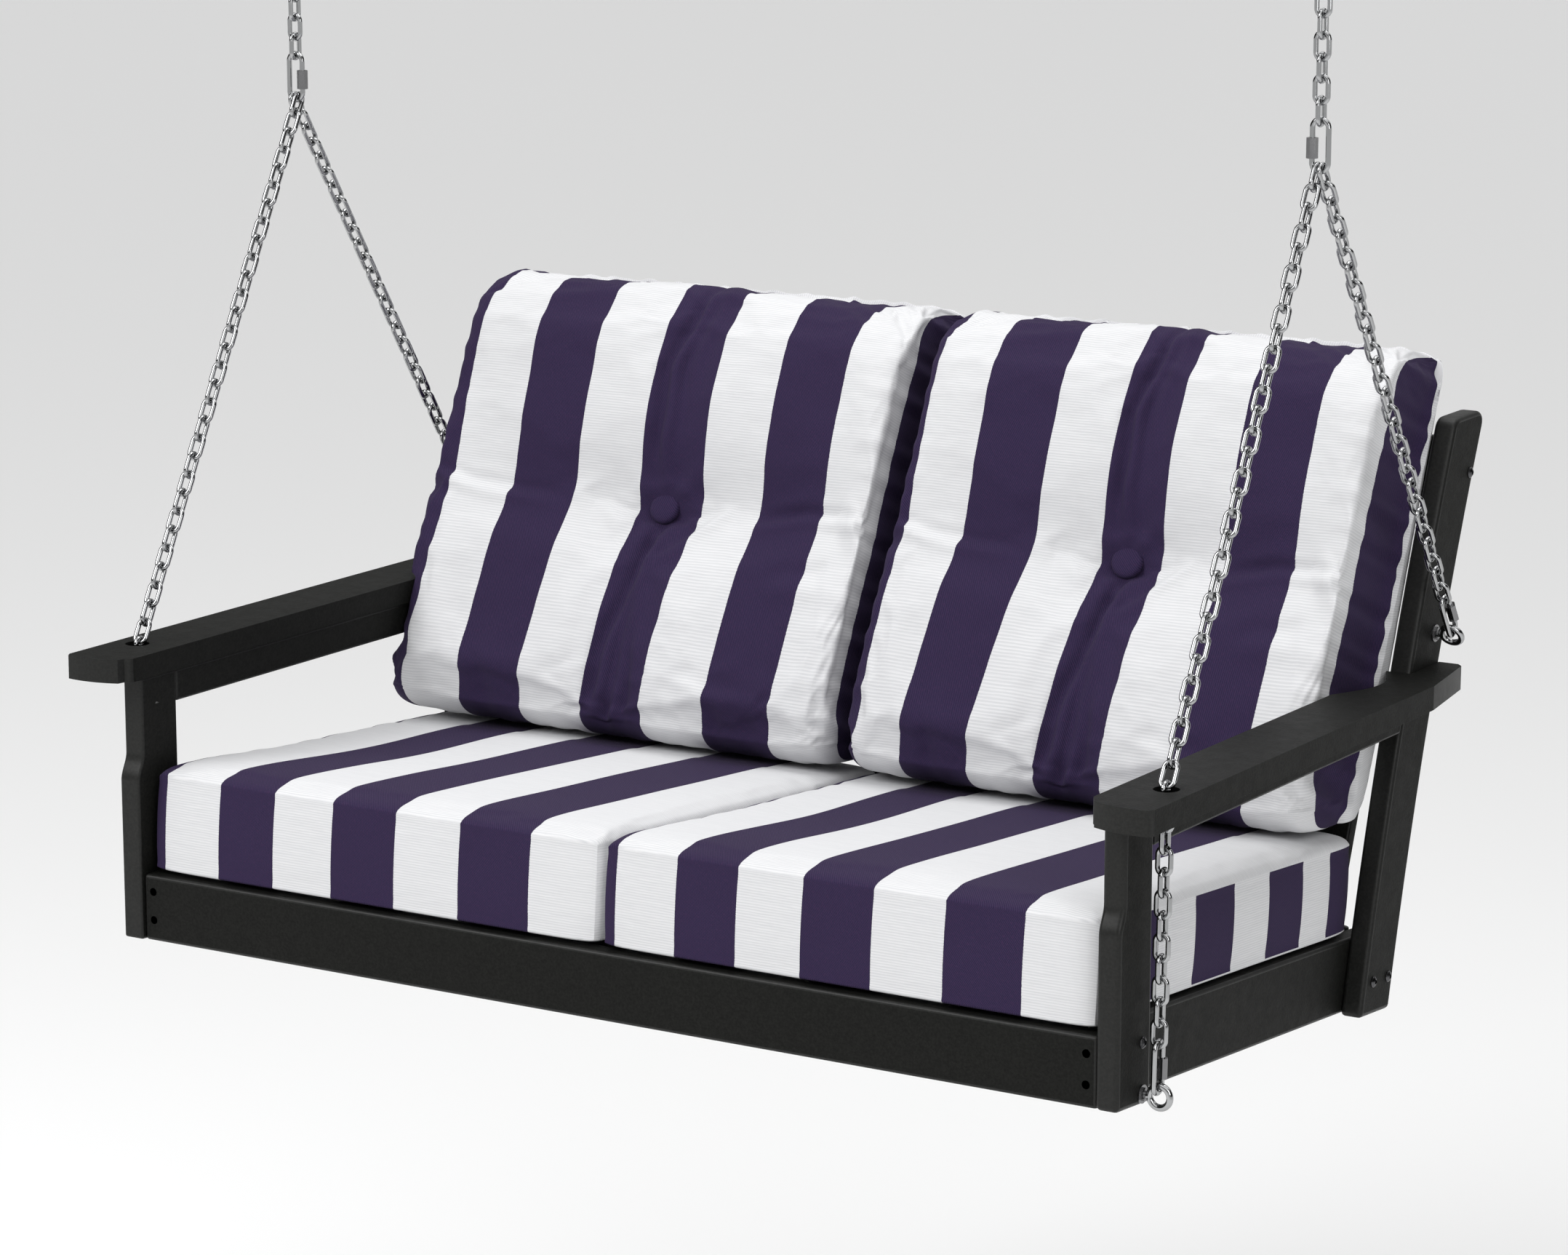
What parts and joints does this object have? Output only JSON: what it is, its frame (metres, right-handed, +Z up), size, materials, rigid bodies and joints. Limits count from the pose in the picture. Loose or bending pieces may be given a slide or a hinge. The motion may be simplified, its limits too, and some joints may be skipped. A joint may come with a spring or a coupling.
{
  "type": "porch swing seat",
  "caption": "Two-seat hanging porch swing of dark plastic boards on link chains, with striped seat cushions and button-tufted back cushions.",
  "frame": {"origin": "midway between the two ceiling screw eyes, on the ceiling plane that their shoulders meet", "axes": "+X to the right seen from the front of the seat, +Y to the back, +Z up; left and right are as seen from the front"},
  "size_m": [1.392, 0.9268, 1.3568],
  "materials": {
    "board": "matt, fine pebbled texture, smooth on routed edges",
    "steel": "polished stainless steel",
    "bolt": "dark satin steel",
    "screw": "black coated",
    "cover": "woven acrylic, white and dark navy stripes",
    "button": "dark navy twill over a domed button"
  },
  "bodies": {
    "ceiling": {"ceiling_screw_eyes": "steel"},
    "left_hanger": {"left_top_quick_link": "steel", "left_upper_chain": "steel", "left_junction_quick_link": "steel"},
    "right_hanger": {"right_top_quick_link": "steel", "right_upper_chain": "steel", "right_junction_quick_link": "steel"},
    "seat": {"left_front_post": "board", "right_front_post": "board", "left_back_leg": "board", "right_back_leg": "board", "left_arm": "board", "right_arm": "board", "left_arm_brace": "board", "right_arm_brace": "board", "front_rail": "board", "rear_rail": "board", "left_side_rail": "board", "right_side_rail": "board", "centre_seat_support": "board", "seat_slat_cleats": "board", "seat_slats": "board", "back_top_rail": "board", "back_slats": "board", "left_front_chain": "steel", "right_front_chain": "steel", "left_back_chain": "steel", "right_back_chain": "steel", "left_front_quick_link": "steel", "right_front_quick_link": "steel", "left_back_quick_link": "steel", "right_back_quick_link": "steel", "eye_bolts": "steel", "eye_bolt_washers": "steel", "eye_bolt_nuts": "steel", "frame_bolts": "bolt", "frame_bolt_nuts": "bolt", "rail_end_screws": "screw", "arm_screws": "screw", "slat_screws": "screw"},
    "left_top_sleeve": {"left_top_sleeve": "steel"},
    "left_junction_sleeve": {"left_junction_sleeve": "steel"},
    "left_front_sleeve": {"left_front_sleeve": "steel"},
    "left_back_sleeve": {"left_back_sleeve": "steel"},
    "left_seat_cushion": {"left_seat_cushion": "cover"},
    "left_back_cushion": {"left_back_cushion": "cover", "left_cushion_button": "button"},
    "right_top_sleeve": {"right_top_sleeve": "steel"},
    "right_junction_sleeve": {"right_junction_sleeve": "steel"},
    "right_front_sleeve": {"right_front_sleeve": "steel"},
    "right_back_sleeve": {"right_back_sleeve": "steel"},
    "right_seat_cushion": {"right_seat_cushion": "cover"},
    "right_back_cushion": {"right_back_cushion": "cover", "right_cushion_button": "button"}
  },
  "joints": [
    {"name": "swing", "type": "hinge", "parent": "ceiling", "child": "left_hanger", "pos_m": [0, 0, -0.03225], "axis": [1, 0, 0], "range_deg": [-22, 22]},
    {"name": "right_swing", "type": "hinge", "parent": "ceiling", "child": "right_hanger", "pos_m": [0, 0, -0.03225], "axis": [1, 0, 0], "range_deg": [-22, 22]},
    {"name": "seat_pitch", "type": "hinge", "parent": "left_hanger", "child": "seat", "pos_m": [0, 0, -0.3112], "axis": [1, 0, 0], "range_deg": [-10, 10]},
    {"name": "left_top_sleeve_opens", "type": "slide", "parent": "left_hanger", "child": "left_top_sleeve", "axis": [0, 0, 1], "range_m": [0, 0.01]},
    {"name": "left_junction_sleeve_opens", "type": "slide", "parent": "left_hanger", "child": "left_junction_sleeve", "axis": [0, 0, 1], "range_m": [0, 0.01]},
    {"name": "left_front_sleeve_opens", "type": "slide", "parent": "seat", "child": "left_front_sleeve", "axis": [0, 0.0298, 0.9996], "range_m": [0, 0.01]},
    {"name": "left_back_sleeve_opens", "type": "slide", "parent": "seat", "child": "left_back_sleeve", "axis": [0, -0.5532, 0.8331], "range_m": [0, 0.01]},
    {"name": "left_seat_cushion_slides_out", "type": "slide", "parent": "seat", "child": "left_seat_cushion", "axis": [0, -0.9966, 0.0828], "range_m": [0, 0.15]},
    {"name": "left_back_cushion_lifts_out", "type": "slide", "parent": "seat", "child": "left_back_cushion", "axis": [0, 0.3602, 0.9329], "range_m": [0, 0.2]},
    {"name": "right_top_sleeve_opens", "type": "slide", "parent": "right_hanger", "child": "right_top_sleeve", "axis": [0, 0, 1], "range_m": [0, 0.01]},
    {"name": "right_junction_sleeve_opens", "type": "slide", "parent": "right_hanger", "child": "right_junction_sleeve", "axis": [0, 0, 1], "range_m": [0, 0.01]},
    {"name": "right_front_sleeve_opens", "type": "slide", "parent": "seat", "child": "right_front_sleeve", "axis": [0, 0.0298, 0.9996], "range_m": [0, 0.01]},
    {"name": "right_back_sleeve_opens", "type": "slide", "parent": "seat", "child": "right_back_sleeve", "axis": [0, -0.5532, 0.8331], "range_m": [0, 0.01]},
    {"name": "right_seat_cushion_slides_out", "type": "slide", "parent": "seat", "child": "right_seat_cushion", "axis": [0, -0.9966, 0.0828], "range_m": [0, 0.15]},
    {"name": "right_back_cushion_lifts_out", "type": "slide", "parent": "seat", "child": "right_back_cushion", "axis": [0, 0.3602, 0.9329], "range_m": [0, 0.2]}
  ],
  "couplings": [
    {"joint": "right_swing", "follows": "swing", "ratio": 1}
  ]
}
